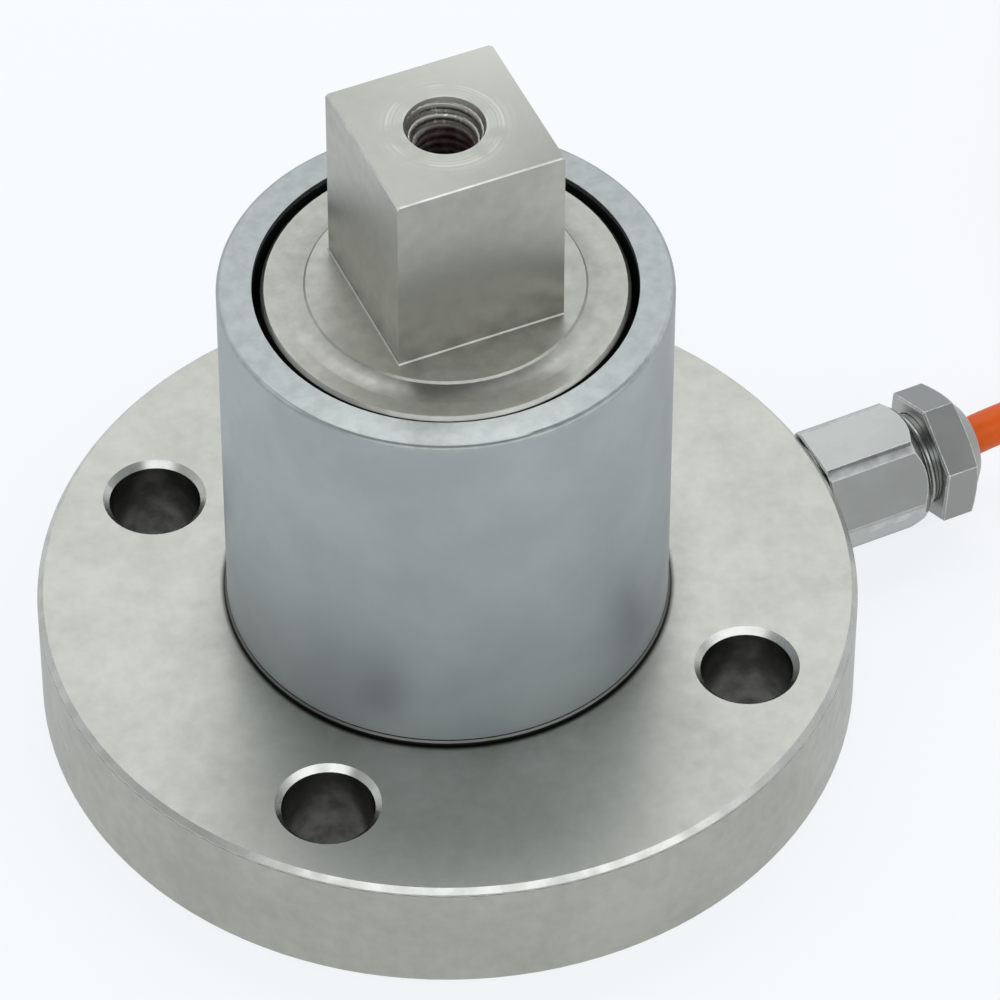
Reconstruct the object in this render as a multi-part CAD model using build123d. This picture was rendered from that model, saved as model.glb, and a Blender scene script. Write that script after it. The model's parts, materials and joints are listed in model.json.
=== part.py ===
from build123d import *
import math
import os

# Static torque sensor with a flange at one end and a square drive at the other.
# Millimetres. The origin is the centre of the flange's underside, +Z is the torque axis
# towards the square, and +X is the middle line between two bolt holes, on the cable side.

# Flange
flange_diameter = 120.0
flange_thickness = 20.0
flange_edge = 0.9
flange_edge_round = 0.5
bolt_to_rim = 13.5
bolt_count = 4
bolt_hole = 13.5
bolt_edge = 0.9
register_diameter = 50.0
register_depth = 4.0
register_edge = 1.0

# Measuring shaft and the collar above it
shaft_diameter = 30.0
shaft_root = 5.0
step_height = 3.0
collar_gap = 1.2
collar_thickness = 14.0
collar_edge = 0.5
collar_drop = 0.5

# Boss and square drive
boss_margin = 2.02
boss_height = 0.9
boss_edge = 0.3
cove_width = 3.4
square_side = 25.0
square_length = 30.0
square_corner_clip = 0.5
square_edge = 0.2
square_root = 0.2
screw_hole = 8.5
screw_depth = 22.0
screw_mouth = 11.5
screw_mouth_depth = 4.0
drill_point_angle = 118.0

# Protective sleeve and its seal ring
sleeve_wall = 5.0
sleeve_height = 61.0
sleeve_edge_round = 0.9
sleeve_edge = 0.5
sleeve_foot_edge = 0.2
seat_margin = 0.3
seat_height = 0.9
seat_edge = 0.25
sleeve_fit = 0.02
seal_section = 2.3
seal_seat_fit = 0.02
seal_groove_width = 3.0
seal_below_collar_top = 8.0

# Strain gauges on the shaft, their coat and wires
gauge_count = 4
gauge_width = 7.0
gauge_length = 11.0
gauge_backing = 0.2
gauge_foil = 0.1
gauge_margin = 0.3
gauge_grid_gap = 0.2
gauge_strands = 6
gauge_strand_width = 0.45
gauge_strand_pitch = 0.95
gauge_tab = 1.6
coat_thickness = 1.2
coat_margin = 3.0
wire_diameter = 0.5
wire_drop = 9.0
wire_bend = 2.0
wire_clearance = 0.05

# Terminal board at the root of the shaft
board_width = 6.25
board_fit = 0.5
board_thickness = 1.6
board_gap_angle = 48.0
gauge_pad_inset = 1.7
cable_pad_inset = 1.55
gauge_pad_angle = 9.0
cable_pad_angle = 7.0
cable_pad_pitch = 8.0
pad_size = 1.5
pad_thickness = 0.2
resistor_count = 3
resistor_length = 3.2
resistor_width = 1.6
resistor_height = 0.8
resistor_edge = 0.15
resistor_pitch = 14.0

# Cable port in the flange's wall; the angle is the port's, from the middle line +X
port_angle = 1.9
port_above_middle = 0.5
port_face = 1.0
port_face_gap = 0.4
port_thread = 12.0
port_thread_fit = 0.05
port_thread_runout = 4.0
channel_clearance = 1.0
channel_rise_wall = 1.75
channel_rise_diameter = 7.0

# Cable gland, measured outward along its own axis
gasket_thickness = 1.0
gasket_diameter = 17.0
gasket_fit = 0.1
shoulder_length = 0.2
hexagon_flats = 18.0
hexagon_length = 15.9
hexagon_bar = 19.8
hexagon_edge = 0.3
hexagon_chamfer_length = 1.6
hexagon_end_diameter = 17.2
spigot_length = 9.0
neck_diameter = 14.0
neck_length = 7.3
bush_wall = 2.2
bush_length = 9.0
bush_taper = 1.6
bush_fit = 0.05
washer_inset = 0.7
washer_thickness = 0.9
gland_clearance = 0.35
nut_gap = 2.2
nut_flats = 18.0
nut_edge = 0.3
nut_straight = 5.0
nut_length = 8.1
nut_turn = 25.7
nut_corner_bevel = 0.45
nut_dome_diameter = 17.4
nut_end_diameter = 10.8
nut_end_round = 2.0
nut_thread_fit = 0.1
nut_clearance = 0.6
nut_bore_bevel = 0.5

# Cable and its cores
core_colours = ("red", "black", "green", "white")
cable_diameter = 6.0
jacket_overhang = 5.0
exit_inset = 2.3
core_diameter = 1.2
core_gap = 0.4
core_bend = 1.5
core_crossing = 3.0

# Free cable, in the gland's direction: x out of the gland, y to its left, z above the floor
cable_route_points = [
    (100.5, 1.9, 10.8),
    (118.0, 3.9, 3.0),
    (136.0, 2.2, 3.0),
    (153.0, -3.0, 3.0),
]
coil_centre = (176.0, 30.0)
coil_radius = 36.0
coil_columns = 3
coil_layers = 4
tail_start = -100.0
tail_end = 118.0
boot_wall = 0.4
boot_length = 14.0
boot_straight = 8.4
boot_mouth_diameter = 5.8
free_core_gap = 0.3
free_core_lead = 4.0
free_core_stagger = 0.5
free_core_offset = 2.0
free_core_angle = 16.0
free_core_gaps = [1.8, 2.4, 3.0]
tip_length = 6.0
tip_diameter = 0.9

# How far a cutting shape runs past the surface that it cuts
overrun = 1.0

# Sizes that follow from the ones above
flange_radius = flange_diameter / 2
bolt_radius = flange_radius - bolt_to_rim
shaft_radius = shaft_diameter / 2
board_inner = shaft_radius + shaft_root + board_fit
board_outer = board_inner + board_width
gauge_track = board_inner + gauge_pad_inset
cable_track = board_outer - cable_pad_inset
sleeve_inner = board_outer + board_fit
sleeve_outer = sleeve_inner + sleeve_wall
seat_radius = sleeve_outer + seat_margin
seat_top = flange_thickness + seat_height
collar_radius = sleeve_inner - collar_gap
boss_radius = square_side / math.sqrt(2) + boss_margin
sleeve_top = flange_thickness + sleeve_height
collar_top = sleeve_top - collar_drop
collar_bottom = collar_top - collar_thickness
boss_top = collar_top + boss_height
square_top = boss_top + square_length
step_top = flange_thickness + step_height
gauge_middle = (step_top + collar_bottom) / 2
gauge_grid_width = gauge_width / 2 - gauge_margin - gauge_grid_gap / 2
gauge_grid_centre = (gauge_grid_gap + gauge_grid_width) / 2
gauge_tab_height = (gauge_length - gauge_tab) / 2 - gauge_margin
port_height = flange_thickness / 2 + port_above_middle
port_face_diameter = gasket_diameter + 2 * port_face_gap
channel_rise_radius = sleeve_inner - channel_rise_wall - channel_rise_diameter / 2
cable_radius = cable_diameter / 2
channel_diameter = cable_diameter + 2 * channel_clearance
gland_bore = cable_diameter + 2 * gland_clearance
nut_bore = cable_diameter + 2 * nut_clearance
bush_diameter = cable_diameter + 2 * bush_wall
boot_diameter = cable_diameter + 2 * boot_wall
core_spread = core_diameter + core_gap
free_core_pitch = core_diameter + free_core_gap
coil_inner = coil_radius - coil_columns * cable_radius
coil_outer = coil_radius + coil_columns * cable_radius
coil_height = coil_layers * cable_diameter
gasket_inner_end = flange_radius - port_face
shoulder_end = gasket_inner_end + gasket_thickness
spigot_end = shoulder_end - spigot_length
hexagon_start = shoulder_end + shoulder_length
hexagon_end = hexagon_start + hexagon_length
neck_end = hexagon_end + neck_length
bush_end = neck_end + nut_thread_fit
bush_start = bush_end - bush_length
washer_end = bush_end + washer_thickness
washer_diameter = neck_diameter - 2 * washer_inset
nut_start = hexagon_end + nut_gap
nut_end = nut_start + nut_length
cable_start = spigot_end - jacket_overhang
cable_exit = nut_end - exit_inset
cable_route = [(cable_exit, 0.0, port_height)] + cable_route_points


def turned_z(points):
    """A solid turned about Z from a closed outline of (radius, height) points."""
    outline = Plane.XZ * Polyline(*points, close=True)
    return revolve(make_face(outline), Axis.Z)


def turned_x(points):
    """A solid turned about X from a closed outline of (distance along X, radius) points."""
    return revolve(make_face(Polyline(*points, close=True)), Axis.X)


def rod_x(start, end, diameter):
    """A round rod along X."""
    return Pos(start, 0, 0) * Rot(0, 90, 0) * Cylinder(
        diameter / 2, end - start, align=(Align.CENTER, Align.CENTER, Align.MIN)
    )


def rod_z(start, end, diameter):
    """A round rod along Z."""
    return Pos(0, 0, start) * Cylinder(
        diameter / 2, end - start, align=(Align.CENTER, Align.CENTER, Align.MIN)
    )


def hexagon_x(start, end, flats, turn, edge):
    """A hexagonal bar along X, with a bevel round its start.

    The turn is the angle of a corner on the -Y side above the horizontal.
    """
    section = RegularPolygon(flats / 2, 6, major_radius=False, rotation=90)
    bar = extrude(section, amount=end - start)
    bar = chamfer(bar.edges().group_by(Axis.Z)[0], edge)
    return Pos(start, 0, 0) * Rot(-turn, 0, 0) * Rot(0, 90, 0) * bar


def at_port(shape):
    """Moves a shape from the gland's own axis to the port in the flange's wall."""
    return Rot(0, 0, port_angle) * Pos(0, 0, port_height) * shape


def on_cable_side(shape):
    """Turns a shape that is already at its height to the port's direction."""
    return Rot(0, 0, port_angle) * shape


def round_wire(path, diameter):
    """A round section swept along a path of lines and arcs."""
    start = Plane(origin=path @ 0, z_dir=path % 0)
    return sweep(start * Circle(diameter / 2), path=path)


def corner_radii(points, least_turn=1e-6):
    """The largest smooth arc for each inner corner of a route."""
    radii = []
    for before, corner, after in zip(points, points[1:], points[2:]):
        run_in = Vector(*corner) - Vector(*before)
        run_out = Vector(*after) - Vector(*corner)
        half_turn = math.radians(max(run_in.get_angle(run_out), least_turn)) / 2
        radii.append(0.45 * min(run_in.length, run_out.length) / math.tan(half_turn))
    return radii


# Spring body: flange, register step, shaft, collar, boss and square in one piece of steel
def spring_body_outline():
    """The turned outline of the body, without the square, as a face in the XZ plane."""
    cove_end = boss_radius + cove_width
    cove_start = (boss_radius + boss_edge, boss_top - boss_edge)
    cove_run = cove_width - boss_edge
    cove_angle = 2 * math.atan((boss_height - boss_edge) / cove_run)
    cove_middle = cove_angle / 2
    cove_round = cove_run / math.sin(cove_angle)
    middle = (
        cove_end - cove_round * math.sin(cove_middle),
        collar_top + cove_round * (1 - math.cos(cove_middle)),
    )
    groove_top = collar_top - seal_below_collar_top
    groove_radius = sleeve_inner - seal_section
    step_radius = sleeve_inner - sleeve_fit
    register_radius = register_diameter / 2
    lower = Polyline(
        cove_start,
        (boss_radius, boss_top),
        (0, boss_top),
        (0, register_depth),
        (register_radius, register_depth),
        (register_radius, register_edge),
        (register_radius + register_edge, 0),
        (flange_radius - flange_edge, 0),
        (flange_radius, flange_edge),
        (flange_radius, flange_thickness - flange_edge),
        (flange_radius - flange_edge, flange_thickness),
        (seat_radius, flange_thickness),
        (seat_radius, seat_top - seat_edge),
        (seat_radius - seat_edge, seat_top),
        (step_radius, seat_top),
        (step_radius, step_top),
        (shaft_radius + shaft_root, step_top),
    )
    root = RadiusArc(lower @ 1, (shaft_radius, step_top + shaft_root), shaft_root)
    shaft = Line(root @ 1, (shaft_radius, collar_bottom - shaft_root))
    neck = RadiusArc(shaft @ 1, (shaft_radius + shaft_root, collar_bottom), shaft_root)
    upper = Polyline(
        neck @ 1,
        (collar_radius, collar_bottom),
        (collar_radius, groove_top - seal_groove_width),
        (groove_radius, groove_top - seal_groove_width),
        (groove_radius, groove_top),
        (collar_radius, groove_top),
        (collar_radius, collar_top - collar_edge),
        (collar_radius - collar_edge, collar_top),
        (cove_end, collar_top),
    )
    cove = ThreePointArc(upper @ 1, middle, cove_start)
    outline = make_face(lower + root + shaft + neck + upper + cove)
    rim = [
        vertex
        for vertex in outline.vertices()
        if abs(vertex.X - flange_radius) < 1e-6
    ]
    return fillet(rim, flange_edge_round)


def square_drive():
    """The square with a fine bevel round its end and at its root, its upper corners clipped."""
    bar = Pos(0, 0, boss_top) * Box(
        square_side,
        square_side,
        square_length,
        align=(Align.CENTER, Align.CENTER, Align.MIN),
    )
    bar = chamfer(bar.edges().group_by(Axis.Z)[-1], square_edge)
    corner = square_side / math.sqrt(2)
    turned_end = turned_z(
        [
            (0, boss_top),
            (corner + overrun, boss_top),
            (corner + overrun, square_top - square_corner_clip - overrun),
            (corner - square_corner_clip, square_top),
            (0, square_top),
        ]
    )
    root_side = square_side + 2 * square_root
    root = extrude(Rectangle(root_side, root_side), amount=square_root, taper=45)
    return (bar & turned_end) + Pos(0, 0, boss_top) * root


def screw_hole_cut():
    """The tapped hole in the square's end: tapered mouth, straight wall and drill point."""
    floor = square_top - screw_depth
    point = screw_hole / 2 / math.tan(math.radians(drill_point_angle / 2))
    return turned_z(
        [
            (0, floor - point),
            (screw_hole / 2, floor),
            (screw_hole / 2, square_top - screw_mouth_depth),
            (screw_mouth / 2, square_top),
            (0, square_top),
        ]
    )


def bolt_hole_cut():
    """One bolt hole with a bevel at the upper face, on the torque axis."""
    radius = bolt_hole / 2
    return turned_z(
        [
            (0, 0),
            (radius, 0),
            (radius, flange_thickness - bolt_edge),
            (radius + bolt_edge, flange_thickness),
            (0, flange_thickness),
        ]
    )


def port_cut():
    """Spot face, tapped port and wire channel through the flange, in place."""
    face = rod_x(gasket_inner_end, flange_radius + overrun, port_face_diameter)
    thread_floor = spigot_end - port_thread_runout
    thread = rod_x(thread_floor, flange_radius, port_thread + 2 * port_thread_fit)
    channel_end = channel_rise_radius - channel_rise_diameter / 2
    channel = rod_x(channel_end, flange_radius, channel_diameter)
    level = at_port(face + thread + channel)
    rise = Pos(channel_rise_radius, 0, 0) * rod_z(
        port_height, step_top, channel_rise_diameter
    )
    return level + on_cable_side(rise)


def spring_body():
    body = revolve(Plane.XZ * spring_body_outline(), Axis.Z)
    body += square_drive()
    body -= screw_hole_cut()
    for place in PolarLocations(bolt_radius, bolt_count, 180 / bolt_count):
        body -= place * bolt_hole_cut()
    return body - port_cut()


# Sleeve and seal
def protective_sleeve():
    section = make_face(
        Polyline(
            (sleeve_inner, seat_top + sleeve_edge),
            (sleeve_inner + sleeve_edge, seat_top),
            (sleeve_outer - sleeve_foot_edge, seat_top),
            (sleeve_outer, seat_top + sleeve_foot_edge),
            (sleeve_outer, sleeve_top),
            (sleeve_inner, sleeve_top),
            close=True,
        )
    )
    rim = section.vertices().sort_by(Axis.Y)[-2:].sort_by(Axis.X)[-1]
    return revolve(Plane.XZ * fillet(rim, sleeve_edge_round), Axis.Z)


def sleeve_seal_ring():
    section_radius = seal_section / 2 - seal_seat_fit
    centre = sleeve_inner - seal_section / 2
    height = collar_top - seal_below_collar_top - seal_groove_width / 2
    return Pos(0, 0, height) * Torus(centre, section_radius)


# Strain gauges
def shaft_shell(inner_offset, thickness, height):
    """A thin tube on the shaft's surface, centred on the gauges' height."""
    outer = Cylinder(shaft_radius + inner_offset + thickness, height)
    inner = Cylinder(shaft_radius + inner_offset, height)
    return Pos(0, 0, gauge_middle) * (outer - inner)


def foil_pattern():
    """Outline of a gauge's foil seen from +X: two slanted grids and four tabs, as a prism."""
    depth = shaft_diameter
    grid_height = 2 * (gauge_tab_height - gauge_tab / 2 - gauge_grid_gap)
    pattern = []
    for side in (-1, 1):
        middle = side * gauge_grid_centre
        field = Pos(0, middle, 0) * Box(depth, gauge_grid_width, grid_height)
        for strand in range(gauge_strands):
            offset = (strand - (gauge_strands - 1) / 2) * gauge_strand_pitch
            bar = Rot(side * 45, 0, 0) * Pos(0, 0, offset) * Box(
                depth, 2 * gauge_width, gauge_strand_width
            )
            pattern.append((Pos(0, middle, 0) * bar) & field)
        tab = Box(depth, gauge_tab, gauge_tab)
        for end in (-1, 1):
            pattern.append(Pos(0, middle, end * gauge_tab_height) * tab)
    return pattern


def strain_gauge():
    """One gauge on the +X side of the shaft: backing film with its foil grids and tabs."""
    patch = Box(shaft_diameter, gauge_width, gauge_length)
    window = Pos(shaft_diameter, 0, gauge_middle) * patch
    backing = shaft_shell(0, gauge_backing, gauge_length) & window
    foil_shell = shaft_shell(gauge_backing, gauge_foil, gauge_length)
    for piece in foil_pattern():
        backing += foil_shell & (Pos(shaft_diameter, 0, gauge_middle) * piece)
    return backing


def gauge_angles():
    pitch = 360 / gauge_count
    return [pitch * (index + 0.5) for index in range(gauge_count)]


def pad_place(angle, track):
    """A point on the terminal board's top face, on the circle of that radius."""
    turn = math.radians(angle)
    return (
        track * math.cos(turn),
        track * math.sin(turn),
        step_top + board_thickness,
    )


def gauge_lead(angle, side):
    """One fine wire from a gauge's lower tab down to its pad on the board."""
    tab_offset = side * gauge_grid_centre
    surface = shaft_radius + gauge_backing + gauge_foil
    lift = wire_diameter / 2 + wire_clearance
    away = math.sqrt(surface**2 - tab_offset**2) + lift
    top = gauge_middle - gauge_tab_height
    x, y, z = pad_place(side * gauge_pad_angle, gauge_track)
    points = [
        (away, tab_offset, top),
        (away, tab_offset, top - wire_drop),
        (x, y, z + pad_thickness + lift),
    ]
    path = FilletPolyline(*points, radius=wire_bend)
    return Rot(0, 0, angle) * round_wire(path, wire_diameter)


def gauge_leads():
    return [
        gauge_lead(angle, side)
        for angle in gauge_angles()
        for side in (-1, 1)
    ]


def gauge_coating(gauges, leads):
    """Silicone coat round the shaft over the gauges, closed against them and the wires."""
    height = gauge_length + 2 * coat_margin
    coat = shaft_shell(0, coat_thickness, height)
    for piece in gauges + leads:
        coat -= piece
    return coat


# Terminal board
def terminal_board():
    """An open ring of board on the register step, its gap over the wire channel."""
    ring = Cylinder(board_outer, board_thickness)
    ring -= Cylinder(board_inner, board_thickness)
    reach = 2 * board_outer
    half = math.radians(board_gap_angle / 2)
    gap = make_face(
        Polyline(
            (0, 0),
            (reach * math.cos(half), reach * math.sin(half)),
            (reach * math.cos(half), -reach * math.sin(half)),
            close=True,
        )
    )
    wedge = Pos(0, 0, -board_thickness) * extrude(gap, amount=2 * board_thickness)
    board = Pos(0, 0, step_top + board_thickness / 2) * (ring - wedge)
    return on_cable_side(board)


def core_pad_angles():
    """Angles of the four cable pads from the port's direction, two each side of the gap."""
    near = board_gap_angle / 2 + cable_pad_angle
    far = near + cable_pad_pitch
    return [near, far, -near, -far]


def solder_pads():
    places = [
        (angle + side * gauge_pad_angle, gauge_track)
        for angle in gauge_angles()
        for side in (-1, 1)
    ]
    places += [(angle + port_angle, cable_track) for angle in core_pad_angles()]
    pads = []
    for angle, track in places:
        x, y, z = pad_place(angle, track)
        pad = Box(pad_size, pad_size, pad_thickness)
        pads.append(Pos(x, y, z + pad_thickness / 2) * Rot(0, 0, angle) * pad)
    return pads


def compensation_resistors():
    resistors = []
    for index in range(resistor_count):
        angle = 180 + (index - (resistor_count - 1) / 2) * resistor_pitch
        x, y, z = pad_place(angle, (board_inner + board_outer) / 2)
        block = Box(
            resistor_width,
            resistor_length,
            resistor_height,
            align=(Align.CENTER, Align.CENTER, Align.MIN),
        )
        block = chamfer(block.edges().group_by(Axis.Z)[-1], resistor_edge)
        resistors.append(Pos(x, y, z) * Rot(0, 0, angle) * block)
    return resistors


# Cable gland
def gland_gasket():
    ring = rod_x(gasket_inner_end, shoulder_end, gasket_diameter)
    bore = port_thread + 2 * gasket_fit
    return at_port(ring - rod_x(gasket_inner_end, shoulder_end, bore))


def gland_body():
    """Spigot, shoulder, hexagon with blunted corners, threaded neck and bush chamber."""
    corner = hexagon_bar / 2
    turned = turned_x(
        [
            (hexagon_start, 0),
            (hexagon_start, corner),
            (hexagon_end - hexagon_chamfer_length, corner),
            (hexagon_end, hexagon_end_diameter / 2),
            (hexagon_end, 0),
        ]
    )
    bar = hexagon_x(hexagon_start, hexagon_end, hexagon_flats, 0, hexagon_edge)
    body = bar & turned
    body += rod_x(spigot_end, shoulder_end, port_thread)
    body += rod_x(shoulder_end, hexagon_start, gasket_diameter)
    body += rod_x(hexagon_end, neck_end, neck_diameter)
    chamber = turned_x(
        [
            (spigot_end, 0),
            (spigot_end, gland_bore / 2),
            (bush_start, gland_bore / 2),
            (bush_start + bush_taper, bush_diameter / 2),
            (neck_end, bush_diameter / 2),
            (neck_end, 0),
        ]
    )
    return at_port(body - chamber)


def gland_seal_bush():
    outer = bush_diameter / 2 - bush_fit
    inner = cable_radius
    nose = gland_bore / 2
    return at_port(
        turned_x(
            [
                (bush_start + bush_fit, inner),
                (bush_start + bush_fit, nose),
                (bush_start + bush_taper + bush_fit, outer),
                (bush_end, outer),
                (bush_end, inner),
            ]
        )
    )


def gland_thrust_washer():
    ring = rod_x(bush_end, washer_end, washer_diameter)
    return at_port(ring - rod_x(bush_end, washer_end, gland_bore))


def gland_nut():
    """Hexagon nut whose outer end is turned to a low rounded dome."""
    corner = nut_flats / math.sqrt(3)
    bevel_start = nut_start + nut_straight
    outline = make_face(
        Polyline(
            (nut_start, 0),
            (nut_start, corner),
            (bevel_start, corner),
            (bevel_start + nut_corner_bevel, nut_dome_diameter / 2),
            (nut_end, nut_end_diameter / 2),
            (nut_end, 0),
            close=True,
        )
    )
    end_corner = outline.vertices().sort_by_distance((nut_end, nut_end_diameter / 2))[0]
    turned = revolve(fillet(end_corner, nut_end_round), Axis.X)
    nut = hexagon_x(nut_start, nut_end, nut_flats, nut_turn, nut_edge) & turned
    nut -= rod_x(nut_start, washer_end, neck_diameter + 2 * nut_thread_fit)
    bore = nut_bore / 2
    nut -= turned_x(
        [
            (nut_start, 0),
            (nut_start, bore),
            (nut_end - nut_bore_bevel, bore),
            (nut_end, bore + nut_bore_bevel),
            (nut_end, 0),
        ]
    )
    return at_port(nut)


# Cable inside the gland and its cores
def cable_entry(run):
    """The jacketed stretch that the gland holds, trimmed to the free cable's first face."""
    return at_port(rod_x(cable_start, cable_exit, cable_diameter)) - run


def cable_core(index):
    """One core from the jacket's end through the flange to the board."""
    side = 1 if index < 2 else -1
    level = 1 if index % 2 == 0 else -1
    offset_y = side * core_spread / 2
    offset_z = level * core_spread / 2
    x, y, z = pad_place(core_pad_angles()[index], cable_track)
    rise_x = channel_rise_radius + level * core_spread / 2
    crossing = step_top + board_thickness + core_crossing
    points = [
        (cable_start, offset_y, port_height + offset_z),
        (rise_x, offset_y, port_height + offset_z),
        (rise_x, offset_y, crossing),
        (x, y, crossing),
        (x, y, z + pad_thickness),
    ]
    path = FilletPolyline(*points, radius=core_bend)
    return on_cable_side(round_wire(path, core_diameter))


# Free cable
def cable_run():
    """The cable from the nut to the coil's outer face, where it joins the wound turns."""
    radii = corner_radii(cable_route)
    print("cable radii", [round(radius, 1) for radius in radii])
    tube = round_wire(FilletPolyline(*cable_route, radius=radii), cable_diameter)
    wound = rod_z(-overrun, coil_height + overrun, 2 * coil_outer)
    return on_cable_side(tube - Pos(*coil_centre) * wound)


def cable_coil():
    """The wound length as one ring."""
    ring = rod_z(0, coil_height, 2 * coil_outer) - rod_z(0, coil_height, 2 * coil_inner)
    return on_cable_side(Pos(*coil_centre) * ring)


def on_coil(angle, radius, height):
    """A point over the coil, by its angle from the gland's direction."""
    turn = math.radians(angle)
    return (
        coil_centre[0] + radius * math.cos(turn),
        coil_centre[1] + radius * math.sin(turn),
        height,
    )


def cable_tail():
    """The cable's last part turn, lying on top of the coil."""
    height = coil_height + cable_radius
    path = ThreePointArc(
        on_coil(tail_start, coil_radius, height),
        on_coil((tail_start + tail_end) / 2, coil_radius, height),
        on_coil(tail_end, coil_radius, height),
    )
    return on_cable_side(round_wire(path, cable_diameter))


def boot_place():
    """The plane of the cable's cut end, facing along the last turn."""
    origin = on_coil(tail_end, coil_radius, coil_height + boot_diameter / 2)
    turn = math.radians(tail_end)
    return Plane(
        origin=origin,
        x_dir=(math.cos(turn), math.sin(turn), 0),
        z_dir=(-math.sin(turn), math.cos(turn), 0),
    )


def cable_end_boot():
    """Shrink boot over the end of the jacket, narrowed on to the cores."""
    outline = Plane.XZ * Polyline(
        (0, 0),
        (boot_diameter / 2, 0),
        (boot_diameter / 2, boot_straight),
        (boot_mouth_diameter / 2, boot_length),
        (0, boot_length),
        close=True,
    )
    return on_cable_side(boot_place() * revolve(make_face(outline), Axis.Z))


def free_core(index):
    """One stripped core, fanned out on top of the coil, and its tinned tip."""
    outward = index - (len(core_colours) - 1) / 2
    mouth = boot_place() * Pos(outward * free_core_pitch, 0, boot_length)
    lead = mouth * Pos(0, 0, free_core_lead + index * free_core_stagger)
    points = [tuple(mouth.position), tuple(lead.position)]
    mouth_angle = tail_end + math.degrees(math.atan(boot_length / coil_radius))
    rest = coil_height + core_diameter / 2
    for step, gap in enumerate(free_core_gaps, 1):
        angle = mouth_angle + step * free_core_angle
        radius = coil_radius + free_core_offset + outward * gap
        points.append(on_coil(angle, radius, rest))
    path = FilletPolyline(*points, radius=core_bend)
    core = round_wire(path, core_diameter)
    tip = Plane(origin=path @ 1, z_dir=path % 1) * rod_z(0, tip_length, tip_diameter)
    return on_cable_side(core), on_cable_side(tip)


free_cable = cable_run()
parts = {
    "spring_body": spring_body(),
    "protective_sleeve": protective_sleeve(),
    "sleeve_seal_ring": sleeve_seal_ring(),
    "terminal_board": terminal_board(),
    "solder_pads": solder_pads(),
    "compensation_resistors": compensation_resistors(),
    "gland_gasket": gland_gasket(),
    "gland_body": gland_body(),
    "gland_seal_bush": gland_seal_bush(),
    "gland_thrust_washer": gland_thrust_washer(),
    "gland_nut": gland_nut(),
    "cable_entry": cable_entry(free_cable),
    "cable_run": free_cable,
    "cable_coil": cable_coil(),
    "cable_tail": cable_tail(),
    "cable_end_boot": cable_end_boot(),
}

gauges = [Rot(0, 0, angle) * strain_gauge() for angle in gauge_angles()]
leads = gauge_leads()
for number, gauge in enumerate(gauges, 1):
    parts[f"strain_gauge_{number}"] = gauge
parts["gauge_leads"] = leads
parts["gauge_coating"] = gauge_coating(gauges, leads)

tips = []
for index, colour in enumerate(core_colours):
    parts[f"core_{colour}"] = cable_core(index)
    free, tip = free_core(index)
    parts[f"free_core_{colour}"] = free
    tips.append(tip)
parts["free_core_tips"] = tips

os.makedirs("parts", exist_ok=True)
for name, shape in parts.items():
    if isinstance(shape, list):
        shape = Compound(children=shape)
    export_step(shape, f"parts/{name}.step")
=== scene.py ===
import json
import math

import bmesh
import bpy
from mathutils import Matrix, Vector


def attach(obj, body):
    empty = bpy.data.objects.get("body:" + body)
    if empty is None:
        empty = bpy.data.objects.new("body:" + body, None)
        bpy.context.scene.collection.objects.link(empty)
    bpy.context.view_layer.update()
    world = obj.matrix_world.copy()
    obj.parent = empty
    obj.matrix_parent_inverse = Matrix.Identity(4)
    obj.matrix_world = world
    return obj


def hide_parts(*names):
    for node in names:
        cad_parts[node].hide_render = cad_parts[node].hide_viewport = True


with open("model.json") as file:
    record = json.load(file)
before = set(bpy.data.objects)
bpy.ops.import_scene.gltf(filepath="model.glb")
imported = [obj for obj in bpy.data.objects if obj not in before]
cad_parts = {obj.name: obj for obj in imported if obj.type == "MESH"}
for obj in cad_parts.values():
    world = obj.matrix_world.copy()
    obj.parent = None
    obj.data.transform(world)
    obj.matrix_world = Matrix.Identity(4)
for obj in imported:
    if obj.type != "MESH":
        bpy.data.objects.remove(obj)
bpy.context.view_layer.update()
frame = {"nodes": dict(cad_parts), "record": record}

nodes = frame["nodes"]
scene = bpy.context.scene

# Places on the object, in metres
port_turn = math.radians(1.9)
port_height = 0.0105
cable_exit = 0.0841
cable_radius = 0.003
coil_centre = (0.176, 0.030)
coil_columns = (0.042, 0.036, 0.030)
coil_layers = 4
tail_angle = 118.0
square_top = 0.1114
square_foot = 0.0814
screw_radius = 0.00425
screw_mouth_radius = 0.00575
screw_mouth_depth = 0.004
screw_thread_depth = 0.018
screw_pitch = 0.0015
body_flat_turn = math.radians(154.3)
neck_start = 0.0761
neck_end = 0.0783
neck_radius = 0.007
neck_pitch = 0.00125
bolt_place = 0.0465 / math.sqrt(2)
bolt_radius = 0.00675
bolt_bevel = 0.0009
seat_radius = 0.03255
sleeve_top = 0.081
sleeve_bore = 0.02725
flange_top = 0.020
flange_radius = 0.060

# Limits between the spring body's regions: the flange's part inside the sleeve, and the collar over it
hidden_radius = 0.030
collar_radius = 0.031
collar_foot = 0.070
seat_limit = 0.022

# Colours of the plates, each with its darker shade
nickel_light, nickel_dark = (0.57, 0.565, 0.51), (0.49, 0.487, 0.437)
brass_light, brass_dark = (0.50, 0.51, 0.485), (0.45, 0.46, 0.437)
# Near black, painted as the shadow at the sleeve's foot and as the shade in its bore
painted_shadow_black = (0.012, 0.012, 0.012, 1)


def on_cable_side(x, y, z):
    """A point given along the gland's axis, in the object's frame."""
    return Vector((
        x * math.cos(port_turn) - y * math.sin(port_turn),
        x * math.sin(port_turn) + y * math.cos(port_turn),
        z,
    ))


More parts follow.
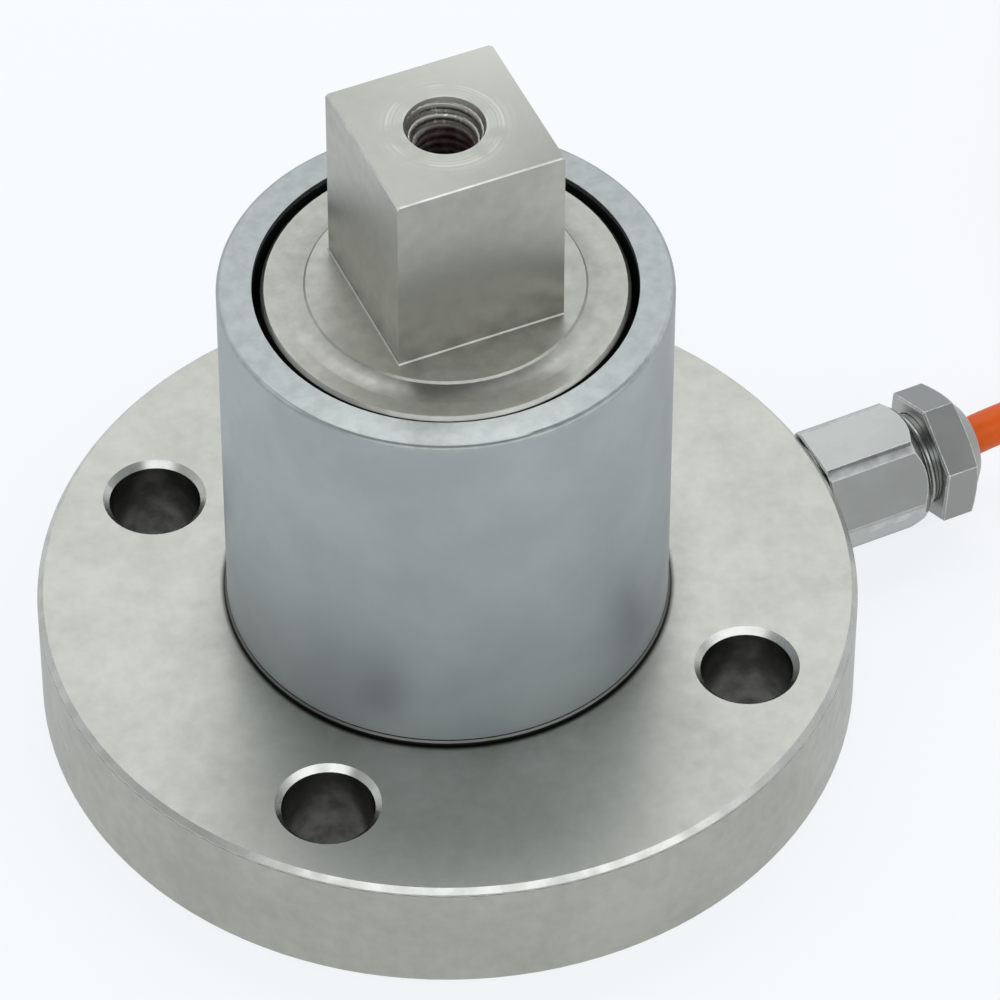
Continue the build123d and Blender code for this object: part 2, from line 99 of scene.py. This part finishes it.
# Camera
view_azimuth = math.radians(-113.37)
view_elevation = math.radians(47.8057)
view_distance = 1.05465
view_pan = math.radians(-0.4264)
view_tilt = math.radians(1.3818)
view_roll = math.radians(0.3586)
to_camera = Vector((math.cos(view_azimuth), math.sin(view_azimuth), 0))
sideways = Vector((-math.sin(view_azimuth), math.cos(view_azimuth), 0))
away = to_camera * math.cos(view_elevation) + Vector((0, 0, math.sin(view_elevation)))
forward = -away
right = sideways.copy()
up = right.cross(forward)
turned = Matrix.Rotation(view_pan, 3, up)
forward, right = turned @ forward, turned @ right
turned = Matrix.Rotation(view_tilt, 3, right)
forward, up = turned @ forward, turned @ up
turned = Matrix.Rotation(view_roll, 3, forward)
right, up = turned @ right, turned @ up
camera_data = bpy.data.cameras.new("camera")
camera_data.lens = 255.98
camera_data.sensor_width = 36
camera_data.clip_start = 0.05
camera_data.clip_end = 50
camera = bpy.data.objects.new("camera", camera_data)
scene.collection.objects.link(camera)
camera.matrix_world = Matrix.Translation(away * view_distance) @ Matrix((
    (right.x, up.x, -forward.x),
    (right.y, up.y, -forward.y),
    (right.z, up.z, -forward.z),
)).to_4x4()
scene.camera = camera


# Materials
class Nodes:
    """Adds shader nodes to a tree and joins them."""

    def __init__(self, tree):
        self.tree = tree

    def feed(self, socket, value):
        """Links the socket to another one, or gives it a plain value."""
        if isinstance(value, bpy.types.NodeSocket):
            self.tree.links.new(value, socket)
        else:
            socket.default_value = value

    def add(self, kind, inputs=(), **settings):
        node = self.tree.nodes.new(kind)
        for name, value in settings.items():
            setattr(node, name, value)
        for name, value in dict(inputs).items():
            self.feed(node.inputs[name], value)
        return node

    def place(self):
        """The object's own coordinates, in metres."""
        return self.add("ShaderNodeTexCoord").outputs["Object"]

    def split(self, vector):
        """The three parts of a vector."""
        return tuple(self.add("ShaderNodeSeparateXYZ", {"Vector": vector}).outputs)

    def noise(self, scale, detail=3.0, rough=0.5, vector=None):
        return self.add("ShaderNodeTexNoise", {
            "Vector": vector or self.place(),
            "Scale": scale,
            "Detail": detail,
            "Roughness": rough,
        }).outputs["Fac"]

    def spread(self, value, low, high, low_in=0.3, high_in=0.7, smooth=False):
        """Value from low_in to high_in, spread from low to high."""
        return self.add("ShaderNodeMapRange", {
            "Value": value,
            "From Min": low_in,
            "From Max": high_in,
            "To Min": low,
            "To Max": high,
        }, interpolation_type="SMOOTHSTEP" if smooth else "LINEAR").outputs["Result"]

    def math(self, operation, *values):
        return self.add("ShaderNodeMath", dict(enumerate(values)), operation=operation).outputs[0]

    def product(self, *values):
        result = values[0]
        for value in values[1:]:
            result = self.math("MULTIPLY", result, value)
        return result

    def above(self, value, limit):
        return self.math("GREATER_THAN", value, limit)

    def below(self, value, limit):
        return self.math("LESS_THAN", value, limit)

    def length(self, first, second):
        """The length of a flat vector with these two parts."""
        squares = self.math("ADD", self.product(first, first), self.product(second, second))
        return self.math("SQRT", squares)

    def dot(self, first, second):
        return self.add(
            "ShaderNodeVectorMath", {0: first, 1: second}, operation="DOT_PRODUCT",
        ).outputs["Value"]

    def mix(self, factor, first, second):
        node = self.add("ShaderNodeMix", data_type="RGBA")
        for name, value in (("Factor_Float", factor), ("A_Color", first), ("B_Color", second)):
            self.feed(next(s for s in node.inputs if s.identifier == name), value)
        return next(s for s in node.outputs if s.identifier == "Result_Color")

    def bump(self, height, strength, distance, **inputs):
        return self.add("ShaderNodeBump", {
            "Height": height,
            "Strength": strength,
            "Distance": distance,
            **inputs,
        }).outputs["Normal"]


def shade(colour, factor=1.0):
    return tuple(min(1.0, c * factor) for c in colour) + (1.0,)


def new_material(name, **inputs):
    """A material with one Principled shader, whose plain sockets are given by name."""
    material = bpy.data.materials.new(name)
    material.use_nodes = True
    made = Nodes(material.node_tree)
    shader = material.node_tree.nodes["Principled BSDF"]
    for key, value in inputs.items():
        shader.inputs[key.replace("_", " ")].default_value = value
    return material, made, shader


def join(made, shader, **sockets):
    for name, socket in sockets.items():
        made.tree.links.new(socket, shader.inputs[name.replace("_", " ")])


def plain_surface(name, colour, rough, metallic=0.0, grain=900.0, variation=0.12, relief=0.00002):
    """A surface with fine grain: colour, gloss and relief all vary a little."""
    material, made, shader = new_material(name, Metallic=metallic)
    broad = made.noise(grain / 12, 3)
    fine = made.noise(grain, 4)
    tone = made.mix(
        made.spread(broad, 0.0, 1.0),
        shade(colour, 1 - variation),
        shade(colour, 1 + variation),
    )
    fleck = made.mix(made.spread(fine, 0.0, 1.0), shade(colour, 1 - variation / 2), tone)
    join(
        made, shader,
        Base_Color=fleck,
        Roughness=made.spread(fine, rough - 0.05, rough + 0.08),
        Normal=made.bump(fine, 0.3, relief),
    )
    return material


def end_face_marks(made, base, x, y, z, radius):
    """Turning marks in patches round the screw hole, and painted light and shade that run across the
    square's end.
    """
    end_face = made.above(z, square_top - 0.00012)
    rings = made.noise(2300.0, 3.0, vector=made.add("ShaderNodeCombineXYZ", {"X": radius}).outputs[0])
    marked = made.product(
        end_face,
        made.spread(made.noise(170, 2), 0.05, 1.0, 0.42, 0.58, smooth=True),
        made.spread(radius, 1.0, 0.12, 0.0080, 0.0100, smooth=True),
    )
    base = made.mix(made.product(end_face, 0.7), base, shade(nickel_dark, 0.90))
    # Painted light and shade across the square's end: darker toward one side, lighter toward the other
    end_light_and_shade = made.mix(
        made.spread(y, 0.0, 1.0, -0.0125, 0.0125),
        shade(nickel_dark, 0.66), shade(nickel_light, 1.08),
    )
    end_light_and_shade_share = made.product(end_face, made.spread(x, 0.0, 0.85, -0.009, 0.0125))
    base = made.mix(end_light_and_shade_share, base, end_light_and_shade)
    scratched = made.mix(
        made.spread(rings, 0.0, 1.0, 0.35, 0.65),
        shade(nickel_dark, 0.86), shade(nickel_light, 1.18),
    )
    base = made.mix(made.product(marked, 0.75), base, scratched)
    return base, made.product(rings, marked)


def screw_hole_glints_and_shade(made, base, z, radius):
    """Painted glints in the hole's mouth, and a reddish residue below it, painted near black as the hole's
    shade.
    """
    # Reddish residue deep in the hole, painted near black as its shade
    residue_and_shade = made.product(
        made.below(radius, 0.0052),
        made.spread(z, 1.0, 0.0, square_top - 0.0044, square_top - 0.0028, smooth=True),
        made.spread(made.noise(700, 3), 0.85, 1.0, 0.35, 0.6),
    )
    mouth = made.product(
        made.below(radius, screw_mouth_radius + 0.0001),
        made.below(z, square_top - 0.0002),
    )
    base = made.mix(made.product(mouth, 0.6), base, (0.40, 0.39, 0.34, 1))
    # Painted glints in the hole's mouth, where thread crests catch the light
    mouth_glints = made.product(
        mouth,
        made.below(z, square_top - 0.0012),
        made.spread(made.noise(1500, 2), 0.0, 1.0, 0.60, 0.66),
    )
    base = made.mix(mouth_glints, base, (0.92, 0.92, 0.90, 1))
    return made.mix(residue_and_shade, base, (0.042, 0.010, 0.010, 1)), residue_and_shade


def seat_shade_and_bevel_highlights(made, base, slope, z, radius):
    """Painted highlights on the bevels, weaker on the boss, and painted shade on the seat under the sleeve.
    """
    seat_shade = made.product(
        made.below(radius, seat_radius + 0.0002),
        made.above(radius, hidden_radius),
        made.below(z, seat_limit),
    )
    boss = made.product(
        made.below(radius, collar_radius),
        made.above(z, collar_foot),
        made.below(z, square_top - 0.001),
    )
    bevel_highlight = made.product(
        made.spread(slope, 0.0, 1.0, 0.40, 0.62, smooth=True),
        made.spread(slope, 1.0, 0.0, 0.82, 0.93, smooth=True),
        made.math("SUBTRACT", 1.0, made.math("ADD", seat_shade, made.product(boss, 0.8))),
        made.product(made.spread(made.noise(300, 3), 0.45, 1.0, 0.38, 0.58), 0.6),
    )
    # Painted highlight on the bevels
    base = made.mix(bevel_highlight, base, (0.82, 0.815, 0.78, 1))
    # Painted shade on the seat under the sleeve
    return made.mix(made.product(seat_shade, 0.8), base, (0.06, 0.06, 0.06, 1)), bevel_highlight


def bolt_hole_shade(made, base, x, y, z):
    """Painted shade on the walls of the four bolt holes."""
    from_bolt = made.length(
        made.math("SUBTRACT", made.math("ABSOLUTE", x), bolt_place),
        made.math("SUBTRACT", made.math("ABSOLUTE", y), bolt_place),
    )
    hole_wall_shade = made.product(
        made.below(from_bolt, bolt_radius + 0.0001),
        made.below(z, flange_top - bolt_bevel - 0.00005),
        made.spread(made.noise(260, 3), 0.80, 1.0, 0.35, 0.6),
    )
    # Painted shade on the bolt holes' walls, mottled
    return made.mix(hole_wall_shade, base, (0.075, 0.076, 0.070, 1))


def painted_shade_in_corners(made, base, mottle, slope, z, radius):
    """Painted shade round the sleeve's foot, in the boss's cove and in the line under the flange's bevel.
    """
    on_flange = made.product(made.above(radius, hidden_radius), made.below(z, flange_top + 0.00062))
    foot_shade = made.product(
        made.spread(radius, 0.22, 0.0, seat_radius + 0.0005, seat_radius + 0.0060, smooth=True),
        on_flange,
        made.spread(mottle, 1.0, 0.6),
    )
    # Painted shade on the flange round the sleeve's foot, mottled
    base = made.mix(foot_shade, base, (0.20, 0.20, 0.19, 1))
    cove_shade = made.product(
        made.above(z, collar_foot),
        made.below(z, square_foot + 0.012),
        made.spread(radius, 1.0, 0.0, 0.0245, 0.0275, smooth=True),
        made.spread(z, 1.0, 0.0, square_foot + 0.0005, square_foot + 0.007, smooth=True),
        made.spread(mottle, 0.62, 0.38),
        0.6,
    )
    # Painted shade in the boss's cove
    base = made.mix(cove_shade, base, (0.20, 0.19, 0.165, 1))
    contact_shadow = made.product(
        made.spread(radius, 1.0, 0.0, seat_radius + 0.0001, seat_radius + 0.0009, smooth=True),
        on_flange,
        0.8,
    )
    # Painted contact shadow right at the sleeve's foot
    base = made.mix(contact_shadow, base, painted_shadow_black)
    under_edge_shade = made.product(
        made.above(radius, flange_radius - 0.001),
        made.spread(slope, 0.0, 1.0, 0.06, 0.2),
        made.spread(slope, 1.0, 0.0, 0.40, 0.55),
        0.75,
    )
    # Painted shade in the line under the flange's bevel
    return made.mix(under_edge_shade, base, (0.10, 0.10, 0.10, 1))


def nickel_plate():
    """Satin nickel on the turned and milled spring body."""
    material, made, shader = new_material("nickel_plate", Metallic=1.0)
    cloud = made.noise(55, 4, rough=0.6)
    mottle = made.noise(420, 4, rough=0.6)
    grain = made.noise(2600, 2)
    amount = made.math("ADD", made.product(cloud, 0.55), made.product(mottle, 0.45))
    x, y, z = made.split(made.place())
    radius = made.length(x, y)
    slope = made.split(made.add("ShaderNodeNewGeometry").outputs["True Normal"])[2]

    base = made.mix(made.spread(amount, 0.0, 1.0, 0.38, 0.62), shade(nickel_dark), shade(nickel_light))
    base, marks = end_face_marks(made, base, x, y, z, radius)
    base, residue_and_shade = screw_hole_glints_and_shade(made, base, z, radius)
    base, bevel_highlight = seat_shade_and_bevel_highlights(made, base, slope, z, radius)
    base = bolt_hole_shade(made, base, x, y, z)
    base = painted_shade_in_corners(made, base, mottle, slope, z, radius)

    relief = made.math("ADD", made.product(mottle, 0.6), made.product(grain, 0.4))
    relief = made.math("ADD", relief, made.product(marks, 1.6))
    rough = made.math("ADD", made.spread(amount, 0.39, 0.30, 0.35, 0.65), made.product(residue_and_shade, 0.45))
    rough = made.math("SUBTRACT", rough, made.product(bevel_highlight, 0.15))
    join(
        made, shader,
        Base_Color=base,
        Roughness=rough,
        Metallic=made.math("SUBTRACT", 1.0, residue_and_shade),
        Normal=made.bump(relief, 0.35, 0.00002),
    )
    return material


def sleeve_plate():
    """Smooth bluish plate on the turned sleeve: its gloss is drawn out across the turning marks."""
    material, made, shader = new_material(
        "bluish_plate", Metallic=0.78, Anisotropic=0.35, Anisotropic_Rotation=0.25,
    )
    cloud = made.noise(60, 4, rough=0.6)
    mottle = made.noise(420, 4, rough=0.6)
    grain = made.noise(2400, 2)
    x, y, z = made.split(made.place())
    radius = made.length(x, y)
    rim_low = sleeve_top - 0.0009
    on_top = made.spread(z, 0.0, 1.0, rim_low, sleeve_top - 0.0002, smooth=True)
    inward = made.math("MAXIMUM", made.math("SUBTRACT", 0.03135, radius), 0.0)
    crowned = made.bump(made.product(inward, 0.17, on_top), 1.0, 1.0)

    base = made.mix(
        made.spread(cloud, 0.0, 1.0, 0.36, 0.64),
        (0.475, 0.513, 0.522, 1), (0.525, 0.567, 0.575, 1),
    )
    ring = made.mix(
        made.spread(mottle, 0.0, 1.0, 0.38, 0.62),
        (0.43, 0.455, 0.443, 1), (0.50, 0.53, 0.515, 1),
    )
    base = made.mix(on_top, base, ring)
    # Painted shade: the sleeve's wall darkens toward its foot, with a bluish tint
    low = made.spread(z, 1.0, 0.0, flange_top - 0.002, flange_top + 0.034, smooth=True)
    base = made.mix(made.product(low, 0.2), base, (0.11, 0.14, 0.165, 1))
    # Painted shade: the bore wall below the rim is near black
    bore_shade = made.product(made.below(radius, sleeve_bore + 0.0002), made.below(z, rim_low), 0.95)
    base = made.mix(bore_shade, base, painted_shadow_black)
    join(
        made, shader,
        Base_Color=base,
        Roughness=made.math(
            "SUBTRACT", made.spread(cloud, 0.50, 0.46, 0.35, 0.65), made.product(on_top, 0.15),
        ),
        Normal=made.bump(grain, 0.1, 0.000012, Normal=crowned),
        Tangent=made.add("ShaderNodeTangent", direction_type="RADIAL", axis="Z").outputs[0],
    )
    return material


def gland_plate():
    """Bright nickel on the gland's turned brass, with painted highlights along its edges and blunted
    corners.
    """
    material, made, shader = new_material("bright_nickel")
    cloud = made.noise(70, 4, rough=0.6)
    grain = made.noise(2400, 2)
    rough = 0.24
    base = made.mix(made.spread(cloud, 0.0, 1.0, 0.36, 0.64), shade(brass_dark), shade(brass_light))
    rounded = made.add("ShaderNodeBevel", {"Radius": 0.00028}, samples=6).outputs[0]
    bend = made.dot(rounded, made.add("ShaderNodeNewGeometry").outputs["Normal"])
    x, _, z = made.split(made.place())
    true_normal = made.add("ShaderNodeNewGeometry").outputs["True Normal"]
    aside = made.dot(true_normal, on_cable_side(0, 1, 0))
    lengthwise = made.dot(true_normal, on_cable_side(1, 0, 0))
    upward = made.split(true_normal)[2]
    turn = made.math("SUBTRACT", made.math("ARCTAN2", upward, aside), body_flat_turn)
    corner = made.product(
        made.spread(made.math("COSINE", made.product(turn, 6.0)), 1.0, 0.0, -0.9, -0.6),
        made.below(x, neck_start),
        made.below(made.math("ABSOLUTE", lengthwise), 0.2),
        made.spread(made.noise(500, 3), 0.25, 0.5, 0.38, 0.6),
    )
    edge = made.product(
        made.spread(bend, 1.0, 0.0, 0.965, 0.997),
        made.spread(made.noise(500, 3), 0.45, 1.0, 0.4, 0.55),
    )
    # Painted highlights on the edges and blunted corners, pale and less metallic
    edge_highlight = made.math("MAXIMUM", edge, corner)
    # Painted shade on the gland's underside, darker toward the bottom
    base = made.mix(made.spread(z, 0.75, 0.0, 0.0018, 0.0050), base, (0.27, 0.28, 0.28, 1))
    on_nut = made.product(made.above(x, neck_end), 0.75)
    base = made.mix(on_nut, base, shade(brass_dark, 0.78))
    join(
        made, shader,
        Base_Color=made.mix(edge_highlight, base, (0.96, 0.96, 0.94, 1)),
        Roughness=made.math(
            "ADD",
            made.spread(cloud, rough - 0.03, rough + 0.05, 0.35, 0.65),
            made.product(edge_highlight, 0.3),
        ),
        Metallic=made.math("SUBTRACT", 1.0, made.product(edge_highlight, 0.7)),
        Normal=made.bump(grain, 0.1, 0.000012, Normal=rounded),
    )
    return material


looks = {
    "nickel_steel": nickel_plate(),
    "zinc_steel": sleeve_plate(),
    "nickel_brass": gland_plate(),
    "black_rubber": plain_surface("nitrile_rubber", (0.022, 0.022, 0.022), 0.6, grain=1500),
    "gauge_film": plain_surface("gauge_film", (0.55, 0.30, 0.10), 0.35, grain=2500),
    "silicone": plain_surface("silicone_coat", (0.58, 0.58, 0.56), 0.4, grain=600, relief=0.0001),
    "board": plain_surface("board_mask", (0.03, 0.20, 0.08), 0.3, grain=2600),
    "solder": plain_surface("tinned_copper", (0.66, 0.66, 0.64), 0.3, metallic=1.0, grain=2200),
    "resistor": plain_surface("resistor_resin", (0.04, 0.04, 0.045), 0.35, grain=2600),
    "copper_wire": plain_surface("varnished_copper", (0.65, 0.28, 0.10), 0.3, metallic=1.0, grain=3000),
    "shrink_black": plain_surface("shrink_sleeve", (0.02, 0.02, 0.022), 0.42, grain=1800, relief=0.00004),
    "core_red": plain_surface("core_red", (0.60, 0.03, 0.02), 0.3, grain=2500),
    "core_black": plain_surface("core_black", (0.02, 0.02, 0.02), 0.3, grain=2500),
    "core_green": plain_surface("core_green", (0.03, 0.30, 0.06), 0.3, grain=2500),
    "core_white": plain_surface("core_white", (0.80, 0.80, 0.78), 0.3, grain=2500),
    "orange_jacket": plain_surface("orange_jacket", (0.90, 0.125, 0.002), 0.36, grain=1600, variation=0.05),
}
jacket_shader = looks["orange_jacket"].node_tree.nodes["Principled BSDF"]
jacket_shader.inputs["Specular IOR Level"].default_value = 0.3
for part in frame["record"]["subparts"]:
    node = nodes[part["node"]]
    node.data.materials.clear()
    node.data.materials.append(looks[part["material_slot"]])

# Cable: the coil's radius and height change at these travels, in degrees round the coil
coil_step = 15
start_angle = -105.0
first_shift = 245
shift = 60
turn = 360
edge_share = math.cos(math.radians(coil_step / 2))
pitch = 2 * cable_radius
radius_keys, height_keys = [(0, coil_columns[0])], [(0, cable_radius)]
travel = first_shift
for layer in range(coil_layers):
    order = coil_columns if layer % 2 == 0 else coil_columns[::-1]
    for before, after in zip(order, order[1:]):
        radius_keys += [(travel, before), (travel + shift, after)]
        travel += turn
    travel -= shift
    z = cable_radius + layer * pitch
    height_keys += [(travel, z), (travel + shift, z + pitch)]
    travel += turn - shift
last_climb = height_keys[-1][0]
tail_travel = tail_angle - start_angle
while tail_travel < last_climb + turn / 2:
    tail_travel += turn
radius_keys += [(last_climb, coil_columns[0]), (last_climb + shift, coil_columns[1])]
tail_height = cable_radius + coil_layers * pitch
height_keys += [(tail_travel - 45, tail_height), (tail_travel, tail_height + 0.0004)]


def at_key(keys, travel):
    """The value at that travel, eased from one key to the next."""
    for (start, first), (end, second) in zip(keys, keys[1:]):
        if start <= travel <= end and end > start:
            share = (travel - start) / (end - start)
            return first + (second - first) * share * share * (3 - 2 * share)
    return keys[-1][1] if travel >= keys[-1][0] else keys[0][1]


route = [
    on_cable_side(cable_exit, 0, port_height),
    on_cable_side(0.1005, 0.0019, 0.0108),
    on_cable_side(0.118, 0.0039, 0.003),
    on_cable_side(0.136, 0.0022, 0.003),
    on_cable_side(0.151, -0.0042, 0.003),
]
steps = math.ceil(tail_travel / coil_step)
for step in range(steps + 1):
    travel = tail_travel * step / steps
    angle = math.radians(start_angle + travel)
    radius = at_key(radius_keys, travel)
    if step < steps:
        radius /= edge_share
    route.append(on_cable_side(
        coil_centre[0] + radius * math.cos(angle),
        coil_centre[1] + radius * math.sin(angle),
        at_key(height_keys, travel),
    ))
cable_curve = bpy.data.curves.new("signal_cable", "CURVE")
cable_curve.dimensions = "3D"
cable_curve.bevel_depth = cable_radius
cable_curve.bevel_resolution = 6
cable_curve.resolution_u = 5
spline = cable_curve.splines.new("NURBS")
spline.points.add(len(route) - 1)
for point, place in zip(spline.points, route):
    point.co = (*place, 1)
spline.use_endpoint_u = True
spline.order_u = 3
cable = bpy.data.objects.new("signal_cable", cable_curve)
scene.collection.objects.link(cable)
cable_curve.materials.append(looks["orange_jacket"])
cable.visible_glossy = False
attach(cable, "root")
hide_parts("cable_run", "cable_coil", "cable_tail")


# Threads: the ridge's profile is given along the pitch and out from the wall, as shares
ridge_steps = 72
ridge_profile = ((-0.44, -0.15), (-0.16, 0.8), (0.0, 1.0), (0.16, 0.8), (0.44, -0.15))


def thread_ridge(name, slot, place, start, end, pitch, wall, rise):
    """A closed ridge wound right-handed on a round wall, faded out at both ends."""
    steps = math.ceil((end - start) / pitch * ridge_steps)
    mesh = bpy.data.meshes.new(name)
    made = bmesh.new()
    rings = []
    for step in range(steps + 1):
        middle = start + (end - start) * step / steps
        angle = math.tau * step / ridge_steps
        fade = min(1.0, 4 * step / ridge_steps, 4 * (steps - step) / ridge_steps)
        ring = []
        for along, out in ridge_profile:
            distance = middle + along * pitch
            radius = wall(distance) + rise(distance) * (out * fade if out > 0 else out)
            point = Vector((radius * math.cos(angle), radius * math.sin(angle), distance))
            ring.append(made.verts.new(place @ point))
        rings.append(ring)
    count = len(ridge_profile)
    for first, second in zip(rings, rings[1:]):
        for index in range(count):
            after = (index + 1) % count
            made.faces.new((first[index], first[after], second[after], second[index]))
    made.faces.new(rings[0])
    made.faces.new(rings[-1])
    bmesh.ops.recalc_face_normals(made, faces=made.faces)
    made.to_mesh(mesh)
    made.free()
    for face in mesh.polygons:
        face.use_smooth = True
    piece = bpy.data.objects.new(name, mesh)
    scene.collection.objects.link(piece)
    mesh.materials.append(looks[slot])
    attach(piece, "root")


def in_mouth(height):
    """How far up the screw hole's tapered mouth that height is, from 0 to 1."""
    return max(0.0, height - (square_top - screw_mouth_depth)) / screw_mouth_depth


def screw_wall(height):
    """The screw hole's radius at that height."""
    return screw_radius + in_mouth(height) * (screw_mouth_radius - screw_radius)


def screw_rise(height):
    """The thread's depth there: it runs out toward the mouth."""
    return -0.00026 + 0.00019 * min(1.0, in_mouth(height))


thread_ridge(
    "screw_hole_thread", "nickel_steel", Matrix.Identity(4),
    square_top - screw_thread_depth, square_top - 0.0009, screw_pitch, screw_wall, screw_rise,
)
gland_axis = (
    Matrix.Rotation(port_turn, 4, "Z")
    @ Matrix.Translation((0, 0, port_height))
    @ Matrix.Rotation(math.pi / 2, 4, "Y")
)
thread_ridge(
    "gland_neck_thread", "nickel_brass", gland_axis,
    neck_start + 0.0004, neck_end - 0.0004, neck_pitch,
    lambda distance: neck_radius, lambda distance: 0.00035,
)

# Floor: its pale colour is the background, and its other share takes the object's shadow
floor_reach = 6.0
floor_mesh = bpy.data.meshes.new("floor")
floor_mesh.from_pydata(
    [(x * floor_reach, y * floor_reach, 0) for x, y in ((-1, -1), (1, -1), (1, 1), (-1, 1))],
    [], [(0, 1, 2, 3)],
)
floor = bpy.data.objects.new("floor", floor_mesh)
scene.collection.objects.link(floor)
floor_look, made, shader = new_material("floor", Roughness=0.7, Specular_IOR_Level=0.2)
join(
    made, shader,
    Base_Color=made.mix(
        made.spread(made.noise(6, 2), 0.0, 1.0),
        (0.83, 0.855, 0.88, 1), (0.86, 0.88, 0.90, 1),
    ),
)
path_kind = made.add("ShaderNodeLightPath").outputs
mirrored = made.math("ADD", path_kind["Is Glossy Ray"], path_kind["Is Transmission Ray"])
backdrop_share = made.math(
    "ADD", made.product(path_kind["Is Camera Ray"], 0.76), made.product(mirrored, 0.68),
)
pale_level = made.spread(path_kind["Is Camera Ray"], 0.80, 1.085, 0.0, 1.0)
pale = made.add("ShaderNodeEmission", {"Color": (0.955, 0.98, 1.0, 1), "Strength": pale_level})
both = made.add("ShaderNodeMixShader", {0: backdrop_share, 1: shader.outputs["BSDF"], 2: pale.outputs[0]})
made.tree.links.new(both.outputs[0], made.tree.nodes["Material Output"].inputs["Surface"])
floor_mesh.materials.append(floor_look)

# Light: a soft room, dimmer on the camera's side, with a window high behind and a broad strip in front
world = bpy.data.worlds.new("studio")
scene.world = world
world.use_nodes = True
world.node_tree.nodes.clear()
made = Nodes(world.node_tree)
strip_turn = math.radians(24)
strip_level = 1.15
strip_middle = Vector((math.cos(view_azimuth + strip_turn), math.sin(view_azimuth + strip_turn), 0))
direction = made.add("ShaderNodeTexCoord").outputs["Generated"]
height = made.split(direction)[2]
near_side = made.spread(made.dot(direction, to_camera), 0.0, 1.0, -0.40, -0.16, smooth=True)
near_level = made.product(
    made.spread(height, 0.62, 0.30, 0.20, 0.70, smooth=True),
    made.spread(height, 1.0, 0.4, 0.84, 0.92, smooth=True),
)
beside = made.math("ABSOLUTE", made.dot(direction, sideways))
window = made.spread(beside, 1.0, 0.0, 0.16, 0.34, smooth=True)
high_level = made.math(
    "ADD",
    made.product(window, made.spread(height, 1.0, 1.95, 0.80, 0.88, smooth=True)),
    made.product(
        made.math("SUBTRACT", 1.0, window),
        made.spread(height, 1.0, 0.45, 0.79, 0.87, smooth=True),
    ),
)
far_level = made.product(
    made.spread(height, 0.55, 1.10, 0.0, 0.50, smooth=True),
    high_level,
    made.spread(height, 1.0, 0.2, 0.94, 0.98, smooth=True),
)
strip = made.product(
    made.spread(height, 0.0, 1.0, 0.42, 0.50, smooth=True),
    made.spread(height, 1.0, 0.0, 0.74, 0.82, smooth=True),
    made.spread(made.dot(direction, strip_middle), 0.0, 1.0, 0.15, 0.40, smooth=True),
    strip_level,
)
level = made.math(
    "ADD",
    made.product(near_side, near_level),
    made.product(made.math("SUBTRACT", 1.0, near_side), far_level),
)
level = made.math("ADD", level, strip)
room = made.add("ShaderNodeBackground", {"Color": (0.93, 0.965, 1.0, 1), "Strength": level})
backdrop = made.add("ShaderNodeBackground", {"Color": (0.90, 0.93, 0.96, 1), "Strength": 1.0})
seen = made.add("ShaderNodeLightPath").outputs["Is Camera Ray"]
both = made.add("ShaderNodeMixShader", {0: seen, 1: room.outputs[0], 2: backdrop.outputs[0]})
made.add("ShaderNodeOutputWorld", {"Surface": both.outputs[0]})


def soft_lamp(name, place, aim, size, power):
    lamp = bpy.data.lights.new(name, "AREA")
    lamp.shape = "RECTANGLE"
    lamp.size, lamp.size_y = size
    lamp.energy = power
    holder = bpy.data.objects.new(name, lamp)
    scene.collection.objects.link(holder)
    holder.location = place
    holder.rotation_euler = (Vector(aim) - Vector(place)).to_track_quat("-Z", "Y").to_euler()
    holder.visible_camera = False


soft_lamp("left_window", -sideways * 1.3 + Vector((0, 0, 1.3)), (0, 0, 0.03), (0.5, 0.5), 1.2)
soft_lamp("back_window", -to_camera * 0.52 + Vector((0, 0, 1.5)), (0, 0, 0.05), (0.7, 0.2), 0.9)

scene.view_settings.view_transform = "Standard"
